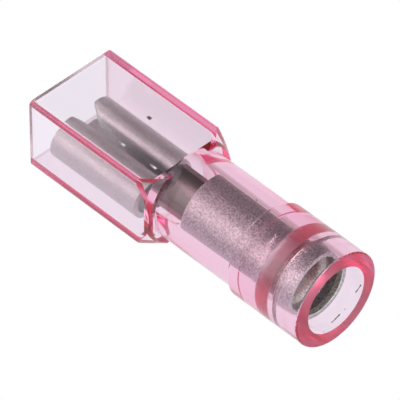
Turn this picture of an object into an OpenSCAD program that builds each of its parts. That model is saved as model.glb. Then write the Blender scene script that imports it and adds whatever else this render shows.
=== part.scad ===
// Fully insulated female quick-connect crimp terminal for a 2.8 x 0.5 mm tab.
// Lengths are millimetres. Every piece is drawn along +X from the tab opening, with its axis on the
// X axis, and then placed so that the origin is under the middle of the terminal and it lies on Z = 0.

/* [Housing box] */
// Length of the whole moulded housing
housing_length = 19; // [18:0.1:22]
// Width of the box round the receptacle
box_width = 5.7; // [5.5:0.05:6.2]
// Height of the box round the receptacle
box_height = 4.5; // [4.5:0.05:5]
// Wall of the box
box_wall = 0.45; // [0.3:0.05:0.5]
// Length of the box, from the tab opening to its rear face
box_length = 8.75; // [8.7:0.05:9.4]
// Radius of the long outside edges of the box
box_edge_r = 0.3; // [0.1:0.05:0.4]
// Radius of the long edges inside the box
cavity_edge_r = 0.03; // [0.02:0.01:0.1]
// Thickness of the box's rear wall, along the axis
rear_wall = 0.6; // [0.5:0.05:0.8]
// Slope of the shoulder that trims the box's rear corners, from the axis
shoulder_angle = 35; // [30:1:40]
// How far the shoulder's last edge stands out from the barrel
shoulder_step = 0.28; // [0.2:0.02:0.4]

/* [Housing barrel] */
// Outside diameter of the barrel
barrel_d = 5.05; // [4.8:0.05:5.3]
// Bore of the barrel
bore_d = 3.38; // [3.3:0.02:3.6]
// How far the collar stands out from the barrel
collar_rise = 0.21; // [0.1:0.01:0.3]
// Length of the collar at the wire end
collar_length = 4.95; // [4:0.05:5.2]
// Radius of the collar's leading edge
collar_lead_r = 0.2; // [0.05:0.01:0.2]
// Radius of the outside edge at the wire end
end_edge_r = 0.1; // [0.05:0.01:0.2]
// Diameter of the wire entry
entry_d = 3.86; // [3.8:0.02:4.2]
// Depth of the wire entry, to the wide end of its funnel
entry_depth = 2.4; // [2.2:0.05:2.6]
// Length of the funnel between the wire entry and the bore
funnel_length = 0.95; // [0.8:0.05:1.1]

/* [Receptacle] */
// Thickness of the brass strip
sheet = 0.3; // [0.25:0.01:0.32]
// Thickness of the tab that the receptacle takes
tab_thickness = 0.5; // [0.4:0.05:0.6]
// Distance from the tab opening to the front of the rolled rails
rail_recess = 0.9; // [0.7:0.05:1.2]
// Length of the rolled rails
rail_length = 6.1; // [5.6:0.1:6.4]
// Outside radius of a rail, from the floor round to its crown
rail_r = 1.05; // [0.95:0.01:1.1]
// Distance between the crowns of the two rails
rail_spacing = 1.96; // [1.9:0.02:2.1]
// Outside radius of the inward curl past the crown
curl_r = 0.68; // [0.6:0.01:0.75]
// Angle at which the curl ends, counted from the outer side over the crown
curl_end = 195; // [160:1:215]
// How far the floor's tongue reaches out in front of the rails
tongue_length = 0.42; // [0.2:0.02:0.6]
// Width of the floor's tongue
tongue_width = 2.7; // [2:0.1:2.8]
// Length of a relief window in the floor
window_length = 0.45; // [0.3:0.05:0.6]
// Width of a relief window in the floor
window_width = 0.45; // [0.3:0.05:0.5]
// Distance from the front of the rails to the first windows
window_start = 1.6; // [1.2:0.1:2]
// Distance from the first windows to the second windows
window_pitch = 2.3; // [1.8:0.1:2.6]
// Height of the detent that catches the hole of the tab
detent_rise = 0.12; // [0.05:0.01:0.15]
// Diameter of the detent where it rises from the floor
detent_d = 1; // [0.8:0.05:1.2]
// Diameter of the detent's flat top
detent_top_d = 0.6; // [0.4:0.05:0.7]
// How far the lead-in at the rails' mouth reaches back
mouth_length = 1.6; // [1.2:0.1:2]

/* [Wire barrel and sleeve] */
// Inside diameter of the wire barrel
wire_barrel_bore = 2.1; // [1.9:0.02:2.1]
// Length of the closed wire barrel inside the sleeve
wire_barrel_length = 5; // [4:0.1:5.2]
// Length of the ramp from the rails' floor up to the neck
neck_ramp_length = 0.2; // [0.1:0.05:0.4]
// Height of the open neck's side walls above the axis
neck_wall_top = 0.1; // [0:0.05:0.3]
// Wall of the support sleeve
sleeve_wall = 0.26; // [0.2:0.01:0.27]
// Distance from the tab opening to the front of the sleeve
sleeve_start = 10.05; // [9.9:0.05:10.4]
// How far the sleeve's rim lies inside the wire end
rim_recess = 1.15; // [1.1:0.05:1.3]
// How far the sleeve's widest place lies inside the wire end
bead_recess = 1.95; // [1.85:0.05:2.1]
// Length of the flare in front of the sleeve's widest place
flare_length = 0.75; // [0.6:0.05:0.85]
// Radial fitting gap between the wire barrel and the sleeve
barrel_fit_gap = 0.03; // [0.01:0.01:0.04]
// Radial fitting gap between the sleeve's widest place and the wire entry
bead_fit_gap = 0.02; // [0.01:0.01:0.04]
// Radial gap between the sleeve's rim and the wire entry
rim_fit_gap = 0.07; // [0.05:0.01:0.12]

/* [Hidden] */
$fn = 64;
cut = 1; // how far a cutting solid runs past what it cuts
barrel_r = barrel_d / 2;
bore_r = bore_d / 2;
collar_r = barrel_r + collar_rise;
entry_r = entry_d / 2;
collar_start = housing_length - collar_length;
funnel_end = housing_length - entry_depth;
funnel_start = funnel_end - funnel_length;
cavity_length = box_length - rear_wall;
cavity_width = box_width - 2 * box_wall;
cavity_height = box_height - 2 * box_wall;
shoulder_run = tan(shoulder_angle); // radius lost for each millimetre along the shoulder
shoulder_rim_r = barrel_r + shoulder_step;
cavity_shoulder_r = shoulder_rim_r - box_wall / cos(shoulder_angle) + rear_wall * shoulder_run;

floor_z = -cavity_height / 2; // underside of the receptacle's floor, on the box's floor
rail_y = rail_spacing / 2;
rail_z = floor_z + rail_r;
crown_z = rail_z + rail_r;
curl_z = crown_z - curl_r;
rail_end = rail_recess + rail_length;
floor_top = floor_z + sheet;
detent_x = rail_recess + rail_length / 3;
window_y = rail_y + window_width / 4;
mouth_share = 0.75; // opening of the rails' mouth, as a share of their half spacing

wire_barrel_in = wire_barrel_bore / 2;
wire_barrel_r = wire_barrel_in + sheet;
neck_start = rail_end + neck_ramp_length;
sleeve_in = wire_barrel_r + barrel_fit_gap;
sleeve_r = sleeve_in + sleeve_wall;
bead_r = entry_r - bead_fit_gap;
bead_x = housing_length - bead_recess;
flare_x = bead_x - flare_length;
rim_r = entry_r - rim_fit_gap;
rim_in = rim_r - sleeve_wall;
rim_x = housing_length - rim_recess;

// Turns a shape drawn up the Z axis so that it lies along +X, from x.
module along_x(x) {
    translate([x, 0, 0]) rotate([90, 0, 90]) children();
}

// Puts the terminal, drawn on its axis, where it lies.
module lying() {
    translate([-housing_length / 2, 0, collar_r]) children();
}

// A rectangle with round corners, centred.
module rounded_rect(w, h, r) {
    square([w, h - 2 * r], center = true);
    square([w - 2 * r, h], center = true);
    for (sy = [-1, 1], sz = [-1, 1])
        translate([sy * (w / 2 - r), sz * (h / 2 - r)]) circle(r);
}

// A box whose rear corners are trimmed by a cone: rim_r is the cone's radius at the rear face.
module shouldered_box(w, h, r, length, rim_radius, front) {
    intersection() {
        along_x(-front) linear_extrude(length + front) rounded_rect(w, h, r);
        along_x(-front)
            cylinder(h = length + front, r1 = rim_radius + (length + front) * shoulder_run,
                     r2 = rim_radius, $fn = 128);
    }
}

// The round barrel and its thicker collar, as one turned shape.
module turned_barrel() {
    along_x(box_length - rear_wall / 2)
        cylinder(h = housing_length - collar_length / 2 - box_length + rear_wall / 2, r = barrel_r);
    along_x(0) rotate_extrude() {
        translate([0, collar_start + collar_lead_r])
            square([collar_r, collar_length - collar_lead_r - end_edge_r]);
        translate([0, collar_start]) square([collar_r - collar_lead_r, collar_length]);
        translate([collar_r - collar_lead_r, collar_start + collar_lead_r]) circle(collar_lead_r);
        translate([0, housing_length - 2 * end_edge_r]) square([collar_r - end_edge_r, 2 * end_edge_r]);
        translate([collar_r - end_edge_r, housing_length - end_edge_r]) circle(end_edge_r);
    }
}

// The stepped way for the wire: bore, funnel and entry.
module wire_way() {
    along_x(cavity_length - cut) cylinder(h = funnel_start - cavity_length + 2 * cut, r = bore_r);
    along_x(funnel_start) cylinder(h = funnel_length, r1 = bore_r, r2 = entry_r);
    along_x(funnel_end) cylinder(h = entry_depth + cut, r = entry_r);
}

module insulating_housing() {
    color([0.93, 0.55, 0.66, 0.6]) lying() difference() {
        union() {
            shouldered_box(box_width, box_height, box_edge_r, box_length, shoulder_rim_r, 0);
            turned_barrel();
        }
        shouldered_box(cavity_width, cavity_height, cavity_edge_r, cavity_length, cavity_shoulder_r, cut);
        wire_way();
    }
}

// The strip's section along an arc: a ring of outside radius r, kept from angle a0 to angle a1.
module bent_strip(r, a0, a1) {
    steps = 5;
    intersection() {
        difference() {
            circle(r);
            circle(r - sheet);
        }
        polygon([[0, 0], for (i = [0:steps])
            let(a = a0 + (a1 - a0) * i / steps) 2 * r * [cos(a), sin(a)]]);
    }
}

// Outline of one rail: the strip turned up from the floor, over the crown and curled inwards.
module rail_outline() {
    translate([rail_y, rail_z]) bent_strip(rail_r, -90, 90);
    translate([rail_y, curl_z]) bent_strip(curl_r, 90, curl_end);
}

// Outline of the receptacle across the tab: flat floor and two rolled rails.
module receptacle_outline() {
    translate([-rail_y, floor_z]) square([rail_spacing, sheet]);
    rail_outline();
    mirror([1, 0]) rail_outline();
}

// Opens the rails' mouth so that a tab finds its way in.
module mouth_cut() {
    open_y = rail_y * mouth_share;
    translate([rail_recess - cut, 0, floor_top + tab_thickness / 2])
        linear_extrude(2 * rail_r)
            polygon([[0, -open_y - cut / 2], [cut + mouth_length, 0], [0, open_y + cut / 2]]);
}

module windows() {
    for (side = [-1, 1], i = [0, 1])
        translate([rail_recess + window_start + i * window_pitch, side * window_y - window_width / 2,
                   floor_z - cut])
            cube([window_length, window_width, sheet + 2 * cut]);
}

// The flat tongue in front of the rails.
module tongue() {
    corner = tongue_length / 2;
    translate([rail_recess - tongue_length, -tongue_width / 2 + corner, floor_z])
        cube([tongue_length + corner, tongue_width - 2 * corner, sheet]);
    translate([rail_recess - tongue_length + corner, -tongue_width / 2, floor_z])
        cube([tongue_length, tongue_width, sheet]);
    for (side = [-1, 1])
        translate([rail_recess - tongue_length + corner, side * (tongue_width / 2 - corner), floor_z])
            cylinder(h = sheet, r = corner);
}

// The ramp that carries the floor up to the half-round neck.
module neck_ramp() {
    rise = -wire_barrel_r - floor_z;
    rear = neck_start + sheet;
    intersection() {
        translate([0, wire_barrel_r, 0]) rotate([90, 0, 0]) linear_extrude(2 * wire_barrel_r)
            polygon([[rail_end - sheet, floor_z], [rail_end, floor_z], [rear, floor_z + rise],
                     [rear, floor_top + rise], [rail_end, floor_top], [rail_end - sheet, floor_top]]);
        translate([0, 0, floor_z]) linear_extrude(2 * wire_barrel_r)
            polygon([[rail_end - sheet, -rail_y], [rail_end, -rail_y], [rear, -wire_barrel_in],
                     [rear, wire_barrel_in], [rail_end, rail_y], [rail_end - sheet, rail_y]]);
    }
}

// The open, half-round neck and the closed wire barrel, rolled to one radius.
module neck_and_barrel() {
    length = sleeve_start + wire_barrel_length - neck_start;
    difference() {
        along_x(neck_start) cylinder(h = length, r = wire_barrel_r);
        along_x(neck_start - cut) cylinder(h = length + 2 * cut, r = wire_barrel_in);
        translate([neck_start - cut, -2 * wire_barrel_r, neck_wall_top])
            cube([sleeve_start - neck_start + cut, 4 * wire_barrel_r, 2 * wire_barrel_r]);
    }
}

module receptacle_contact() {
    color([0.72, 0.71, 0.72]) lying() {
        difference() {
            union() {
                along_x(rail_recess) linear_extrude(rail_length) receptacle_outline();
                tongue();
            }
            mouth_cut();
            windows();
        }
        translate([detent_x, 0, floor_top])
            cylinder(h = detent_rise, d1 = detent_d, d2 = detent_top_d);
        neck_ramp();
        neck_and_barrel();
    }
}

// The sleeve's outside or its bore: a straight tube, a flare up to the widest place, and the bell.
module flared_tube(tube_r, widest_r, end_r) {
    along_x(sleeve_start) cylinder(h = flare_x - sleeve_start, r = tube_r);
    along_x(flare_x) cylinder(h = flare_length, r1 = tube_r, r2 = widest_r);
    along_x(bead_x) cylinder(h = rim_x - bead_x, r1 = widest_r, r2 = end_r);
}

module support_sleeve() {
    color([0.66, 0.64, 0.66]) lying() difference() {
        flared_tube(sleeve_r, bead_r, rim_r);
        flared_tube(sleeve_in, rim_in, rim_in);
        along_x(sleeve_start - cut) cylinder(h = 2 * cut, r = sleeve_in);
        along_x(bead_x) cylinder(h = rim_x - bead_x + cut, r = rim_in);
    }
}

insulating_housing();
receptacle_contact();
support_sleeve();
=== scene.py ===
"""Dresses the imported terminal: a clear tinted housing over a tinned receptacle and a support sleeve."""

import logging
import math
from dataclasses import dataclass, field
from enum import Enum

import bmesh
import bpy
from mathutils import Matrix, Vector


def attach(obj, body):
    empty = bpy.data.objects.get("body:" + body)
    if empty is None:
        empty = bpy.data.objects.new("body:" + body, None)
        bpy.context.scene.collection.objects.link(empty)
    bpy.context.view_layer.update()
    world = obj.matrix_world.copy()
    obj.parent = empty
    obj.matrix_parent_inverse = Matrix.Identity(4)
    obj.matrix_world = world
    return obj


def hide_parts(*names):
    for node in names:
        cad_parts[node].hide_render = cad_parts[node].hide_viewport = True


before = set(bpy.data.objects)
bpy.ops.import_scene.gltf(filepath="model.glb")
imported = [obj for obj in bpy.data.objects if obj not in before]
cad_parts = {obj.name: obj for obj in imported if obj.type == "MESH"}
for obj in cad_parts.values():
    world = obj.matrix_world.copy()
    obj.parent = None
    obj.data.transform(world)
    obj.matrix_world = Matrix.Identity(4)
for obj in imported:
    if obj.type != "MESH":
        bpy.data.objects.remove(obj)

LOG = logging.getLogger("terminal")
MM = 0.001
BODY = "root"
Colour = tuple[float, float, float]
Point = tuple[float, float, float]
LENGTH = 19.0
AXIS_HEIGHT = 2.735
WELD = 1e-6
SEAM = 1e-7
NOISE_SPAN = (0.3, 0.7)
WHITE = (1.0, 1.0, 1.0)


def from_axis(point: Point) -> Point:
    """Turns millimetres from the tab opening and the axis into metres in the shared frame."""
    x, y, z = point
    return ((x - LENGTH / 2) * MM, y * MM, (z + AXIS_HEIGHT) * MM)


class Node(Enum):
    """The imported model's nodes."""

    HOUSING = "insulating_housing"
    CONTACT = "receptacle_contact"
    SLEEVE = "support_sleeve"


class Slot(Enum):
    """The record's material slots."""

    NYLON = "clear_nylon"
    BRASS = "tinned_brass"
    COPPER = "tinned_copper"


@dataclass
class ShaderGraph:
    """A node tree with short ways to add and join nodes."""

    tree: bpy.types.NodeTree

    def add(self, kind: str, **settings: object) -> bpy.types.Node:
        """Adds a node.

        Args:
            kind: the node's type name.
            **settings: attributes of the node, such as its operation.

        Returns:
            The new node.
        """
        node = self.tree.nodes.new(kind)
        for name, value in settings.items():
            setattr(node, name, value)
        return node

    def join(self, source: bpy.types.NodeSocket, target: bpy.types.NodeSocket) -> None:
        """Links one socket to another."""
        self.tree.links.new(source, target)

    def math(self, operation: str, first: bpy.types.NodeSocket | float,
             second: bpy.types.NodeSocket | float = 0.0) -> bpy.types.NodeSocket:
        """Adds a Math node.

        Args:
            operation: the node's operation.
            first: a socket or a number.
            second: a socket or a number.

        Returns:
            The result's socket.
        """
        node = self.add("ShaderNodeMath", operation=operation)
        for place, value in enumerate((first, second)):
            if isinstance(value, (int, float)):
                node.inputs[place].default_value = value
            else:
                self.join(value, node.inputs[place])
        return node.outputs[0]


def distance_to_stroke(graph: ShaderGraph, point: bpy.types.NodeSocket, start: Point,
                       end: Point) -> bpy.types.NodeSocket:
    """Finds how far each place lies from a short straight stroke.

    Args:
        graph: the graph to add the nodes to.
        point: the socket that gives the place.
        start: one end of the stroke, in metres.
        end: its other end.

    Returns:
        The socket with the distance in metres.
    """
    run = Vector(end) - Vector(start)
    offset = graph.add("ShaderNodeVectorMath", operation="SUBTRACT")
    graph.join(point, offset.inputs[0])
    offset.inputs[1].default_value = start
    if run.length == 0.0:
        length = graph.add("ShaderNodeVectorMath", operation="LENGTH")
        graph.join(offset.outputs[0], length.inputs[0])
        return length.outputs["Value"]
    along = graph.add("ShaderNodeVectorMath", operation="DOT_PRODUCT")
    graph.join(offset.outputs[0], along.inputs[0])
    along.inputs[1].default_value = run / run.length_squared
    share = graph.add("ShaderNodeClamp")
    graph.join(along.outputs["Value"], share.inputs[0])
    foot = graph.add("ShaderNodeVectorMath", operation="SCALE")
    foot.inputs[0].default_value = run
    graph.join(share.outputs[0], foot.inputs["Scale"])
    gap = graph.add("ShaderNodeVectorMath", operation="DISTANCE")
    graph.join(offset.outputs[0], gap.inputs[0])
    graph.join(foot.outputs[0], gap.inputs[1])
    return gap.outputs["Value"]


def noise(graph: ShaderGraph, place: bpy.types.NodeSocket, scale: float, detail: float,
          stretch: Point = (1.0, 1.0, 1.0)) -> bpy.types.Node:
    """Adds a noise texture.

    Args:
        graph: the graph to add the nodes to.
        place: the socket that gives the place.
        scale: the noise's scale for each metre.
        detail: how many finer layers it has.
        stretch: its scale along each axis.

    Returns:
        The noise node.
    """
    mapping = graph.add("ShaderNodeMapping")
    mapping.inputs["Scale"].default_value = stretch
    graph.join(place, mapping.inputs["Vector"])
    texture = graph.add("ShaderNodeTexNoise")
    texture.inputs["Scale"].default_value = scale
    texture.inputs["Detail"].default_value = detail
    graph.join(mapping.outputs[0], texture.inputs["Vector"])
    return texture


def ramp(graph: ShaderGraph, value: bpy.types.NodeSocket, source: tuple[float, float],
         target: tuple[float, float]) -> bpy.types.NodeSocket:
    """Maps a value smoothly from one range to another.

    Args:
        graph: the graph to add the node to.
        value: the socket to map.
        source: the range that it comes from.
        target: the range that it goes to.

    Returns:
        The mapped socket.
    """
    node = graph.add("ShaderNodeMapRange", interpolation_type="SMOOTHSTEP")
    node.inputs["From Min"].default_value, node.inputs["From Max"].default_value = source
    node.inputs["To Min"].default_value, node.inputs["To Max"].default_value = target
    graph.join(value, node.inputs["Value"])
    return node.outputs[0]


def axis_coordinates(graph: ShaderGraph, place: bpy.types.NodeSocket
                     ) -> tuple[bpy.types.NodeSocket, bpy.types.NodeSocket]:
    """Finds each place's distance from the tab opening and from the axis, in millimetres.

    Args:
        graph: the graph to add the nodes to.
        place: the socket that gives the place.

    Returns:
        The sockets of the two distances.
    """
    offset = graph.add("ShaderNodeVectorMath", operation="SUBTRACT")
    offset.inputs[1].default_value = from_axis((0.0, 0.0, 0.0))
    graph.join(place, offset.inputs[0])
    scaled = graph.add("ShaderNodeVectorMath", operation="SCALE")
    scaled.inputs["Scale"].default_value = 1.0 / MM
    graph.join(offset.outputs[0], scaled.inputs[0])
    split = graph.add("ShaderNodeSeparateXYZ")
    graph.join(scaled.outputs[0], split.inputs[0])
    across = graph.add("ShaderNodeVectorMath", operation="MULTIPLY")
    across.inputs[1].default_value = (0.0, 1.0, 1.0)
    graph.join(scaled.outputs[0], across.inputs[0])
    radius = graph.add("ShaderNodeVectorMath", operation="LENGTH")
    graph.join(across.outputs[0], radius.inputs[0])
    return split.outputs["X"], radius.outputs["Value"]


def band(graph: ShaderGraph, along: bpy.types.NodeSocket, start: float, end: float,
         blur: float = 0.2) -> bpy.types.NodeSocket:
    """Marks a stretch of the axis, with soft ends.

    Args:
        graph: the graph to add the nodes to.
        along: the place along the axis, in millimetres.
        start: where the stretch starts.
        end: where it ends.
        blur: how long each soft end is.

    Returns:
        The socket that is 1 in the stretch and 0 outside it.
    """
    rising = ramp(graph, along, (start - blur / 2, start + blur / 2), (0.0, 1.0))
    falling = ramp(graph, along, (end - blur / 2, end + blur / 2), (1.0, 0.0))
    return graph.math("MULTIPLY", rising, falling)


def blend_colours(graph: ShaderGraph, factor: bpy.types.NodeSocket, first: Colour,
                  second: Colour) -> bpy.types.NodeSocket:
    """Mixes two colours.

    Args:
        graph: the graph to add the node to.
        factor: the socket that goes from 0 for the first colour to 1 for the second.
        first: the first colour.
        second: the second colour.

    Returns:
        The mixed colour's socket.
    """
    node = graph.add("ShaderNodeMix", data_type="RGBA")
    node.inputs[6].default_value, node.inputs[7].default_value = (*first, 1.0), (*second, 1.0)
    graph.join(factor, node.inputs[0])
    return node.outputs[2]


def new_material(name: str) -> tuple[bpy.types.Material, ShaderGraph]:
    """Makes an empty node material.

    Args:
        name: the material's name.

    Returns:
        The material and its graph.
    """
    material = bpy.data.materials.new(name)
    material.use_nodes = True
    return material, ShaderGraph(material.node_tree)


@dataclass(frozen=True)
class Mark:
    """A speck of dirt, or a hairline, in the nylon: a stroke of a small radius."""

    start: Point
    end: Point
    radius: float
    ragged: float = 0.0


MARKS = (
    Mark((4.96, 0.70, 2.25), (5.05, 0.69, 2.25), 0.105, 0.03),
    Mark((9.60, 0.61, 2.45), (9.60, 0.63, 2.45), 0.035, 0.03),
    Mark((13.05, 0.31, 2.51), (13.16, 0.26, 2.51), 0.022, 0.03),
    Mark((8.60, 1.38, 2.11), (8.62, 1.36, 2.12), 0.03, 0.03),
    Mark((18.83, 1.88, -0.38), (18.66, 1.72, -0.86), 0.035, 0.04),
    Mark((18.66, 1.72, -0.86), (18.60, 1.00, -1.64), 0.022, 0.03),
    Mark((18.57, 0.69, -1.80), (18.60, 0.16, -1.92), 0.035, 0.04),
    Mark((18.60, 0.16, -1.92), (18.86, -0.70, -1.79), 0.02, 0.03),
)


@dataclass(frozen=True)
class ClearNylon:
    """Tinted clear nylon: a smooth dielectric whose body absorbs light."""

    name: str = "clear_nylon"
    index: float = 1.53
    polish: float = 0.05
    haze: float = 0.34
    haze_zones: tuple[tuple[float, float], ...] = ((-1.0, 0.02), (15.6, 16.65), (18.98, 20.0))
    haze_radius: float = 2.2
    tint: Colour = (0.94, 0.2, 0.5)
    density: float = 300.0
    dirt: Colour = (0.02, 0.015, 0.018)
    marks: tuple[Mark, ...] = MARKS
    mark_edge: tuple[float, float] = (0.6, 1.4)
    ragged_scale: float = 9000.0
    ragged_detail: float = 2.0

    def build(self) -> bpy.types.Material:
        """Makes the material.

        Returns:
            The clear, tinted material, with its haze and its marks.
        """
        material, graph = new_material(self.name)
        shader = material.node_tree.nodes["Principled BSDF"]
        self.soil(graph, shader)
        shader.inputs["Transmission Weight"].default_value = 1.0
        shader.inputs["IOR"].default_value = self.index
        self.frost(graph, shader)
        volume = graph.add("ShaderNodeVolumeAbsorption")
        volume.inputs["Color"].default_value = (*self.tint, 1.0)
        volume.inputs["Density"].default_value = self.density
        output = material.node_tree.nodes["Material Output"]
        graph.join(volume.outputs[0], output.inputs["Volume"])
        return material

    def frost(self, graph: ShaderGraph, shader: bpy.types.Node) -> None:
        """Leaves the rims and the funnel duller than the polished walls.

        Args:
            graph: the material's graph.
            shader: its shader.
        """
        place = graph.add("ShaderNodeTexCoord").outputs["Object"]
        along, radius = axis_coordinates(graph, place)
        inner = graph.math("LESS_THAN", radius, self.haze_radius)
        hazy = None
        for start, end in self.haze_zones:
            after = graph.math("GREATER_THAN", along, start)
            zone = graph.math("MULTIPLY", after, graph.math("LESS_THAN", along, end))
            if start > 0.0 and end < LENGTH:
                zone = graph.math("MULTIPLY", zone, inner)
            hazy = zone if hazy is None else graph.math("MAXIMUM", hazy, zone)
        graph.join(ramp(graph, hazy, (0.0, 1.0), (self.polish, self.haze)),
                   shader.inputs["Roughness"])

    def soil(self, graph: ShaderGraph, shader: bpy.types.Node) -> None:
        """Darkens the nylon at each mark.

        Args:
            graph: the material's graph.
            shader: its shader.
        """
        place = graph.add("ShaderNodeTexCoord").outputs["Object"]
        ragged = noise(graph, place, self.ragged_scale, self.ragged_detail)
        wobble = graph.math("SUBTRACT", ragged.outputs[0], 0.5)
        core, rim = self.mark_edge
        clean = None
        for mark in self.marks:
            gap = distance_to_stroke(graph, place, from_axis(mark.start), from_axis(mark.end))
            edge = graph.math("MULTIPLY", wobble, 2.0 * mark.ragged * MM)
            seen = ramp(graph, graph.math("ADD", gap, edge),
                        (core * mark.radius * MM, rim * mark.radius * MM), (0.0, 1.0))
            clean = seen if clean is None else graph.math("MINIMUM", clean, seen)
        colour = blend_colours(graph, clean, self.dirt, WHITE)
        graph.join(colour, shader.inputs["Base Color"])


@dataclass(frozen=True)
class TinPlate:
    """Matte tin plate: grey metal with a fine grain, faint rolling streaks, a bore painted paler as painted
    light and a span of painted dark reflection.
    """

    name: str
    colour: Colour
    roughness: float
    grain: float
    speckle: float
    # painted dark reflection: a span along the axis tinted darker, standing in for shade and colour that the
    # metal reflects there
    dark_reflection_span: tuple[float, float]
    dark_reflection_tint: Colour
    # painted light: the bore colour is paler than the outside, standing in for light that falls into the
    # tube
    bore: Colour = (0.0, 0.0, 0.0)
    bore_radius: float = 0.0
    patchiness: float = 0.12
    unevenness: float = 0.15
    burnished: tuple[tuple[float, float], ...] = ()
    burnish: float = 0.55
    bore_roughness: float = 1.0
    patch_scale: float = 1125.0
    patch_detail: float = 3.0
    grain_scale: float = 11000.0
    grain_detail: float = 2.0
    grain_depth: float = 3e-5
    streak_stretch: Point = (1.0, 0.12, 0.12)
    streak_scale: float = 9000.0
    streak_share: float = 0.4

    def build(self) -> bpy.types.Material:
        """Makes the material.

        Returns:
            The grey metal, with its grain, stain and rubbed zones.
        """
        material, graph = new_material(self.name)
        shader = material.node_tree.nodes["Principled BSDF"]
        shader.inputs["Metallic"].default_value = 1.0
        place = graph.add("ShaderNodeTexCoord").outputs["Object"]
        patches = noise(graph, place, self.patch_scale, self.patch_detail).outputs[0]
        grain = noise(graph, place, self.grain_scale, self.grain_detail).outputs[0]
        along, radius = axis_coordinates(graph, place)
        graph.join(self.colouring(graph, along, radius, patches, grain), shader.inputs["Base Color"])
        graph.join(self.dullness(graph, along, radius, patches), shader.inputs["Roughness"])
        streaks = noise(graph, place, self.streak_scale, self.grain_detail, self.streak_stretch)
        height = graph.math("ADD", grain,
                            graph.math("MULTIPLY", streaks.outputs[0], self.streak_share))
        bump = graph.add("ShaderNodeBump")
        bump.inputs["Strength"].default_value = self.grain
        bump.inputs["Distance"].default_value = self.grain_depth
        graph.join(height, bump.inputs["Height"])
        graph.join(bump.outputs[0], shader.inputs["Normal"])
        return material

    def colouring(self, graph: ShaderGraph, along: bpy.types.NodeSocket,
                  radius: bpy.types.NodeSocket, patches: bpy.types.NodeSocket,
                  grain: bpy.types.NodeSocket) -> bpy.types.NodeSocket:
        """Works out the metal's colour from its patches, its bore painted paler as painted light, its span
        of painted dark reflection and its speckle.

        Args:
            graph: the material's graph.
            along: the place along the axis, in millimetres.
            radius: the distance from the axis, in millimetres.
            patches: the broad noise.
            grain: the fine noise.

        Returns:
            The colour's socket.
        """
        dull = tuple(channel * (1.0 - 2.0 * self.patchiness) for channel in self.colour)
        outside = blend_colours(graph, patches, dull, self.colour)
        # painted dark reflection: the span is multiplied by a darker tint that stands in for reflected shade
        # and colour
        dark_reflection_zone = band(graph, along, *self.dark_reflection_span)
        dark_reflection_mix = graph.add("ShaderNodeVectorMath", operation="MULTIPLY")
        graph.join(self.paint_bore_light(graph, radius, outside), dark_reflection_mix.inputs[0])
        graph.join(blend_colours(graph, dark_reflection_zone, WHITE, self.dark_reflection_tint), dark_reflection_mix.inputs[1])
        speckled = graph.add("ShaderNodeVectorMath", operation="SCALE")
        graph.join(dark_reflection_mix.outputs[0], speckled.inputs[0])
        graph.join(ramp(graph, grain, NOISE_SPAN, (1.0 - self.speckle, 1.0 + self.speckle)),
                   speckled.inputs["Scale"])
        return speckled.outputs[0]

    def dullness(self, graph: ShaderGraph, along: bpy.types.NodeSocket,
                 radius: bpy.types.NodeSocket, patches: bpy.types.NodeSocket
                 ) -> bpy.types.NodeSocket:
        """Works out the roughness: uneven outside, smoother where rubbed, other in the bore.

        Args:
            graph: the material's graph.
            along: the place along the axis, in millimetres.
            radius: the distance from the axis, in millimetres.
            patches: the broad noise.

        Returns:
            The roughness's socket.
        """
        uneven = ramp(graph, patches, NOISE_SPAN, ((1.0 - self.unevenness) * self.roughness,
                                                   (1.0 + self.unevenness) * self.roughness))
        rubbed = 1.0
        for zone in self.burnished:
            rubbed = graph.math("MULTIPLY", ramp(graph, band(graph, along, *zone), (0.0, 1.0),
                                                 (1.0, self.burnish)), rubbed)
        inside = ramp(graph, graph.math("LESS_THAN", radius, self.bore_radius), (0.0, 1.0),
                      (1.0, self.bore_roughness))
        return graph.math("MULTIPLY", graph.math("MULTIPLY", uneven, rubbed), inside)

    def paint_bore_light(self, graph: ShaderGraph, radius: bpy.types.NodeSocket,
                  outside: bpy.types.NodeSocket) -> bpy.types.NodeSocket:
        """Makes the inside of a tube paler than its outside, as painted light that stands in for the light
        falling into the tube.

        Args:
            graph: the material's graph.
            radius: the socket that gives the distance from the axis, in millimetres.
            outside: the colour's socket for the outside.

        Returns:
            The colour's socket for the whole piece.
        """
        if self.bore_radius == 0.0:
            return outside
        # painted light: the bore takes the paler colour in place of the metal's outside colour
        inside = graph.math("LESS_THAN", radius, self.bore_radius)
        mix = graph.add("ShaderNodeMix", data_type="RGBA")
        graph.join(inside, mix.inputs[0])
        graph.join(outside, mix.inputs[6])
        mix.inputs[7].default_value = (*self.bore, 1.0)
        return mix.outputs[2]


def merged_copy(node: Node, name: str) -> bpy.types.Object:
    """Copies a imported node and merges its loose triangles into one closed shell.

    Args:
        node: the node to copy.
        name: the new piece's name.

    Returns:
        The new piece, linked to the scene.
    """
    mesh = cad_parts[node.value].data.copy()
    mesh.name = name
    piece = bpy.data.objects.new(name, mesh)
    bpy.context.scene.collection.objects.link(piece)
    shell = bmesh.new()
    shell.from_mesh(mesh)
    bmesh.ops.remove_doubles(shell, verts=shell.verts, dist=WELD)
    for face in shell.faces:
        face.smooth = True
    shell.to_mesh(mesh)
    shell.free()
    if mesh.attributes.get("custom_normal"):
        mesh.attributes.remove(mesh.attributes["custom_normal"])
    return piece


def true_normals(piece: bpy.types.Object, sharp_angle: float) -> None:
    """Keeps flat faces flat and creases sharp, so that light bends as it does in the real moulding.

    Args:
        piece: the piece to finish.
        sharp_angle: the least angle of a crease, in degrees.
    """
    piece.data.set_sharp_from_angle(angle=math.radians(sharp_angle))
    weighted = piece.modifiers.new("weighted_normals", "WEIGHTED_NORMAL")
    weighted.mode = "FACE_AREA"
    weighted.weight = 100
    weighted.keep_sharp = True


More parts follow.
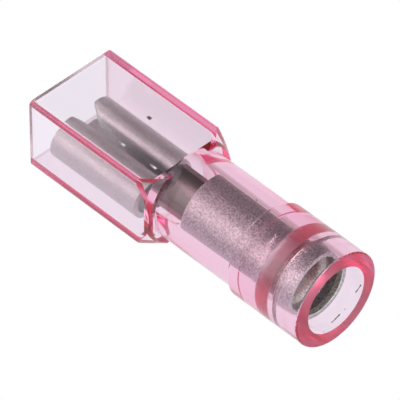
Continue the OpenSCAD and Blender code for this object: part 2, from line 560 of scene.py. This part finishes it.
def dress(piece: bpy.types.Object, material: bpy.types.Material, node: Node) -> None:
    """Gives a piece its finish and lets it stand for its node.

    Args:
        piece: the finished piece.
        material: its finish.
        node: the node that it replaces.
    """
    piece.data.materials.clear()
    piece.data.materials.append(material)
    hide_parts(node.value)
    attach(piece, BODY)
    LOG.info("%s: %d faces", piece.name, len(piece.data.polygons))


@dataclass
class InsulatingHousing:
    """The clear moulded housing."""

    finish: ClearNylon = field(default_factory=ClearNylon)
    cavity_floor: float = 0.935
    cavity_half_width: float = 2.41
    air_gap: float = 0.03
    floor_tolerance: float = 0.005
    crease: float = 9.0

    def build(self) -> bpy.types.Object:
        """Makes and dresses the housing.

        Returns:
            The finished piece.
        """
        piece = merged_copy(Node.HOUSING, "housing")
        self.open_air_gap(piece)
        true_normals(piece, self.crease)
        dress(piece, self.finish.build(), Node.HOUSING)
        return piece

    def open_air_gap(self, piece: bpy.types.Object) -> None:
        """Lowers the cavity's floor by a hair, so that air lies between it and the receptacle.

        Args:
            piece: the merged copy of the housing.
        """
        for vertex in piece.data.vertices:
            height = vertex.co.z - self.cavity_floor * MM
            on_floor = abs(height) < self.floor_tolerance * MM
            if on_floor and abs(vertex.co.y) < self.cavity_half_width * MM and vertex.co.x < 0:
                vertex.co.z -= self.air_gap * MM


@dataclass
class ReceptacleContact:
    """The rolled receptacle, its neck and its wire barrel."""

    finish: TinPlate = field(default_factory=lambda: TinPlate(
        "tinned_brass", (0.68, 0.66, 0.67), roughness=0.42, grain=0.5, speckle=0.1,
        # painted shade: the neck, 7.2 to 10.1 mm, is darkened and browned, standing in for the shade beneath
        # the terminal that it reflects
        dark_reflection_span=(7.2, 10.1), dark_reflection_tint=(0.56, 0.46, 0.46)))
    crease: float = 30.0

    def build(self) -> bpy.types.Object:
        """Makes and dresses the contact.

        Returns:
            The finished piece.
        """
        piece = merged_copy(Node.CONTACT, "receptacle")
        true_normals(piece, self.crease)
        dress(piece, self.finish.build(), Node.CONTACT)
        return piece


@dataclass
class SupportSleeve:
    """The copper sleeve round the wire barrel: a tube turned to a rule, with a flared, rounded bell."""

    finish: TinPlate = field(default_factory=lambda: TinPlate(
        "tinned_copper", (0.56, 0.54, 0.56), roughness=0.38, grain=1.0, speckle=0.35,
        # painted light: the paler greenish bore colour stands in for light falling into the sleeve's mouth
        bore=(0.8, 0.83, 0.77), bore_radius=1.63, bore_roughness=2.0, burnished=((15.1, 15.7), (16.7, 18.0)),
        # painted reflection: 15.85 to 16.6 mm is tinted dark red, standing in for the red nylon funnel
        # reflected in the metal
        dark_reflection_span=(15.85, 16.6), dark_reflection_tint=(0.75, 0.42, 0.44)))
    start: float = 10.05
    rim: float = 17.85
    tube_radius: float = 1.64
    flare_start: float = 16.3
    ridge: float = 15.4
    ridge_rise: float = 0.035
    ridge_half_length: float = 0.3
    bead: float = 17.05
    bead_radius: float = 1.936
    rim_radius: float = 1.86
    wall: float = 0.26
    lip: float = 0.09
    lip_segments: int = 4
    lip_angle: float = 50.0
    rows: int = 157
    segments: int = 128

    def build(self) -> bpy.types.Object:
        """Makes and dresses the sleeve.

        Returns:
            The finished piece.
        """
        material = self.finish.build()
        mesh = bpy.data.meshes.new("sleeve_rule")
        rule = bpy.data.objects.new("sleeve_rule", mesh)
        bpy.context.scene.collection.objects.link(rule)
        self.turn(rule, material)
        solid = rule.modifiers.new("wall", "SOLIDIFY")
        solid.thickness, solid.offset = self.wall * MM, -1.0
        rounded = rule.modifiers.new("lip", "BEVEL")
        rounded.width, rounded.segments = self.lip * MM, self.lip_segments
        rounded.limit_method, rounded.angle_limit = "ANGLE", math.radians(self.lip_angle)
        graph = bpy.context.evaluated_depsgraph_get()
        plain = bpy.data.meshes.new_from_object(rule.evaluated_get(graph))
        piece = bpy.data.objects.new("sleeve", plain)
        bpy.context.scene.collection.objects.link(piece)
        bpy.data.objects.remove(rule)
        for face in plain.polygons:
            face.use_smooth = True
        dress(piece, material, Node.SLEEVE)
        return piece

    def turn(self, rule: bpy.types.Object, material: bpy.types.Material) -> None:
        """Adds the node tree that turns the sleeve's outside from its named sizes.

        Args:
            rule: the object that carries the tree.
            material: the finish that the tree sets.
        """
        tree = bpy.data.node_groups.new("turned_sleeve", "GeometryNodeTree")
        graph = ShaderGraph(tree)
        tree.interface.new_socket("Geometry", in_out="OUTPUT", socket_type="NodeSocketGeometry")
        sizes = {"Start": self.start, "Rim": self.rim, "Tube Radius": self.tube_radius,
                 "Flare Start": self.flare_start, "Bead": self.bead,
                 "Bead Radius": self.bead_radius, "Rim Radius": self.rim_radius,
                 "Ridge": self.ridge, "Ridge Rise": self.ridge_rise,
                 "Ridge Half Length": self.ridge_half_length}
        sockets = {name: tree.interface.new_socket(name, in_out="INPUT", socket_type="NodeSocketFloat")
                   for name in sizes}
        given = graph.add("NodeGroupInput").outputs
        grid = graph.add("GeometryNodeMeshGrid")
        grid.inputs["Size X"].default_value = grid.inputs["Size Y"].default_value = 1.0
        grid.inputs["Vertices X"].default_value = self.rows
        grid.inputs["Vertices Y"].default_value = self.segments + 1
        cell = graph.add("ShaderNodeSeparateXYZ")
        graph.join(graph.add("GeometryNodeInputPosition").outputs[0], cell.inputs[0])
        share = graph.math("ADD", cell.outputs["X"], 0.5)
        length = graph.math("SUBTRACT", given["Rim"], given["Start"])
        along = graph.math("ADD", given["Start"], graph.math("MULTIPLY", share, length))
        radius = self.outside_radius(graph, along, given)
        angle = graph.math("MULTIPLY", cell.outputs["Y"], -2.0 * math.pi)
        place = graph.add("ShaderNodeCombineXYZ")
        graph.join(graph.math("SUBTRACT", along, LENGTH / 2), place.inputs["X"])
        graph.join(graph.math("MULTIPLY", radius, graph.math("COSINE", angle)), place.inputs["Y"])
        height = graph.math("MULTIPLY", radius, graph.math("SINE", angle))
        graph.join(graph.math("ADD", height, AXIS_HEIGHT), place.inputs["Z"])
        scale = graph.add("ShaderNodeVectorMath", operation="SCALE")
        scale.inputs["Scale"].default_value = MM
        graph.join(place.outputs[0], scale.inputs[0])
        moved = graph.add("GeometryNodeSetPosition")
        graph.join(grid.outputs["Mesh"], moved.inputs["Geometry"])
        graph.join(scale.outputs[0], moved.inputs["Position"])
        closed = graph.add("GeometryNodeMergeByDistance")
        closed.inputs["Distance"].default_value = SEAM
        graph.join(moved.outputs[0], closed.inputs[0])
        real = graph.add("GeometryNodeRealizeInstances")
        graph.join(closed.outputs[0], real.inputs[0])
        painted = graph.add("GeometryNodeSetMaterial")
        painted.inputs["Material"].default_value = material
        graph.join(real.outputs[0], painted.inputs[0])
        graph.join(painted.outputs[0], graph.add("NodeGroupOutput").inputs[0])
        modifier = rule.modifiers.new("rule", "NODES")
        modifier.node_group = tree
        for name, value in sizes.items():
            modifier[sockets[name].identifier] = value

    def outside_radius(self, graph: ShaderGraph, along: bpy.types.NodeSocket,
                       given: bpy.types.NodeOutputs) -> bpy.types.NodeSocket:
        """Adds the rule for the sleeve's outside: tube, low ridge, flare, bead and rim.

        Args:
            graph: the tree's graph.
            along: the place along the axis.
            given: the tree's named sizes.

        Returns:
            The socket with the outside radius.
        """
        before = graph.math("SUBTRACT", given["Ridge"], given["Ridge Half Length"])
        behind = graph.math("ADD", given["Ridge"], given["Ridge Half Length"])
        flare = graph.math("SUBTRACT", given["Bead Radius"], given["Tube Radius"])
        fall = graph.math("SUBTRACT", given["Rim Radius"], given["Bead Radius"])
        drop = graph.math("MULTIPLY", given["Ridge Rise"], -1.0)
        radius = given["Tube Radius"]
        for start, end, rise in ((given["Flare Start"], given["Bead"], flare),
                                 (given["Bead"], given["Rim"], fall),
                                 (before, given["Ridge"], given["Ridge Rise"]),
                                 (given["Ridge"], behind, drop)):
            radius = graph.math("ADD", radius, self.step(graph, along, start, end, rise))
        return radius

    @staticmethod
    def step(graph: ShaderGraph, along: bpy.types.NodeSocket, start: bpy.types.NodeSocket,
             end: bpy.types.NodeSocket, rise: bpy.types.NodeSocket) -> bpy.types.NodeSocket:
        """Adds a smooth rise between two places along the axis.

        Args:
            graph: the tree's graph.
            along: the place along the axis.
            start: where the rise starts.
            end: where it ends.
            rise: how much it rises.

        Returns:
            The socket with the rise so far.
        """
        node = graph.add("ShaderNodeMapRange", interpolation_type="SMOOTHSTEP")
        graph.join(along, node.inputs["Value"])
        graph.join(start, node.inputs["From Min"])
        graph.join(end, node.inputs["From Max"])
        node.inputs["To Min"].default_value = 0.0
        graph.join(rise, node.inputs["To Max"])
        return node.outputs[0]


@dataclass(frozen=True)
class SoftLight:
    """A soft bright patch of the tent: where it is, the cosines of its edge and its level."""

    toward: Point
    edge: tuple[float, float]
    level: float


@dataclass
class Studio:
    """The floor, the soft light and the camera."""

    azimuth: float = 46.13
    elevation: float = 44.52
    distance: float = 0.3029
    aim_right: float = -0.0816
    aim_up: float = 0.1129
    sensor: float = 36.0
    lens: float = 548.1
    floor_size: float = 1.0
    floor_albedo: float = 0.9
    seen_colour: Colour = (0.91, 0.95, 1.0)
    dark_from: Point = (-0.514, 0.45, 0.73)
    dark_edge: tuple[float, float] = (0.5, 0.98)
    sky: tuple[float, float] = (1.0, 0.3)
    haze_height: float = 0.3
    haze: float = 0.9
    lights: tuple[SoftLight, ...] = (SoftLight((-0.514, -0.701, 0.494), (0.9, 0.99), 1.0),
                                     SoftLight((-0.9, 0.05, 0.43), (0.94, 0.985), 4.0))
    clip: tuple[float, float] = (0.01, 5.0)
    light_paths: int = 64

    def build(self) -> None:
        """Sets up the floor, light and camera."""
        self.lay_floor()
        self.light_sky()
        self.place_camera()
        scene = bpy.context.scene
        scene.view_settings.view_transform = "Standard"
        scene.cycles.max_bounces = self.light_paths
        scene.cycles.glossy_bounces = self.light_paths
        scene.cycles.transmission_bounces = self.light_paths

    def lay_floor(self) -> None:
        """Lays a matte floor that the camera sees as white and clear pieces as a bluer white."""
        half = self.floor_size / 2
        mesh = bpy.data.meshes.new("floor")
        mesh.from_pydata([(-half, -half, 0), (half, -half, 0), (half, half, 0), (-half, half, 0)],
                         [], [(0, 1, 2, 3)])
        floor = bpy.data.objects.new("floor", mesh)
        bpy.context.scene.collection.objects.link(floor)
        material, graph = new_material("floor_white")
        shader = material.node_tree.nodes["Principled BSDF"]
        albedo = self.floor_albedo
        shader.inputs["Base Color"].default_value = (albedo, albedo, albedo, 1.0)
        shader.inputs["Roughness"].default_value = 1.0
        shader.inputs["Specular IOR Level"].default_value = 0.0
        path = graph.add("ShaderNodeLightPath")
        clear = graph.math("MAXIMUM", path.outputs["Is Glossy Ray"], path.outputs["Is Transmission Ray"])
        seen = graph.math("MAXIMUM", path.outputs["Is Camera Ray"], clear)
        white = graph.add("ShaderNodeEmission")
        graph.join(blend_colours(graph, path.outputs["Is Camera Ray"], self.seen_colour,
                                 WHITE), white.inputs["Color"])
        mix = graph.add("ShaderNodeMixShader")
        graph.join(seen, mix.inputs[0])
        graph.join(shader.outputs[0], mix.inputs[1])
        graph.join(white.outputs[0], mix.inputs[2])
        graph.join(mix.outputs[0], material.node_tree.nodes["Material Output"].inputs["Surface"])
        mesh.materials.append(material)

    def light_sky(self) -> None:
        """Lights the object with a soft tent, darker towards one side and with two bright patches."""
        world = bpy.data.worlds.new("tent")
        bpy.context.scene.world = world
        world.use_nodes = True
        graph = ShaderGraph(world.node_tree)
        background = world.node_tree.nodes["Background"]
        place = graph.add("ShaderNodeTexCoord").outputs["Generated"]
        shade = ramp(graph, self.toward(graph, place, self.dark_from), self.dark_edge, self.sky)
        rise = self.toward(graph, place, (0.0, 0.0, 1.0))
        horizon = ramp(graph, rise, (0.0, self.haze_height), (self.haze, 1.0))
        level = graph.math("MULTIPLY", shade, horizon)
        for light in self.lights:
            patch = ramp(graph, self.toward(graph, place, light.toward), light.edge,
                         (0.0, light.level))
            level = graph.math("ADD", level, patch)
        graph.join(level, background.inputs["Strength"])
        background.inputs["Color"].default_value = (*WHITE, 1.0)

    @staticmethod
    def toward(graph: ShaderGraph, place: bpy.types.NodeSocket, aim: Point) -> bpy.types.NodeSocket:
        """Finds how nearly each direction points at an aim: 1 at the aim, 0 across it.

        Args:
            graph: the world's graph.
            place: the socket that gives the direction.
            aim: the direction to compare with.

        Returns:
            The socket with the cosine of the angle between them.
        """
        node = graph.add("ShaderNodeVectorMath", operation="DOT_PRODUCT")
        node.inputs[1].default_value = Vector(aim).normalized()
        graph.join(place, node.inputs[0])
        return node.outputs["Value"]

    def place_camera(self) -> None:
        """Places the camera at a long lens, above the wire end."""
        azimuth, elevation = math.radians(self.azimuth), math.radians(self.elevation)
        back = Vector((math.sin(azimuth) * math.cos(elevation),
                       -math.cos(azimuth) * math.cos(elevation), math.sin(elevation)))
        right = Vector((0, 0, 1)).cross(back).normalized()
        up = back.cross(right)
        aim = Vector((0, 0, AXIS_HEIGHT * MM)) + (right * self.aim_right + up * self.aim_up) * MM
        data = bpy.data.cameras.new("camera")
        camera = bpy.data.objects.new("camera", data)
        bpy.context.scene.collection.objects.link(camera)
        turn = Matrix((right, up, back)).transposed().to_4x4()
        camera.matrix_world = Matrix.Translation(aim + back * self.distance) @ turn
        data.sensor_width, data.lens = self.sensor, self.lens
        data.clip_start, data.clip_end = self.clip
        bpy.context.scene.camera = camera


def main() -> None:
    """Builds every piece in order."""
    logging.basicConfig(level=logging.INFO, format="%(name)s: %(message)s")
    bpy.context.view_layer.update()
    for assembly in (InsulatingHousing(), ReceptacleContact(), SupportSleeve()):
        assembly.build()
    Studio().build()


if __name__ == "__main__":
    main()
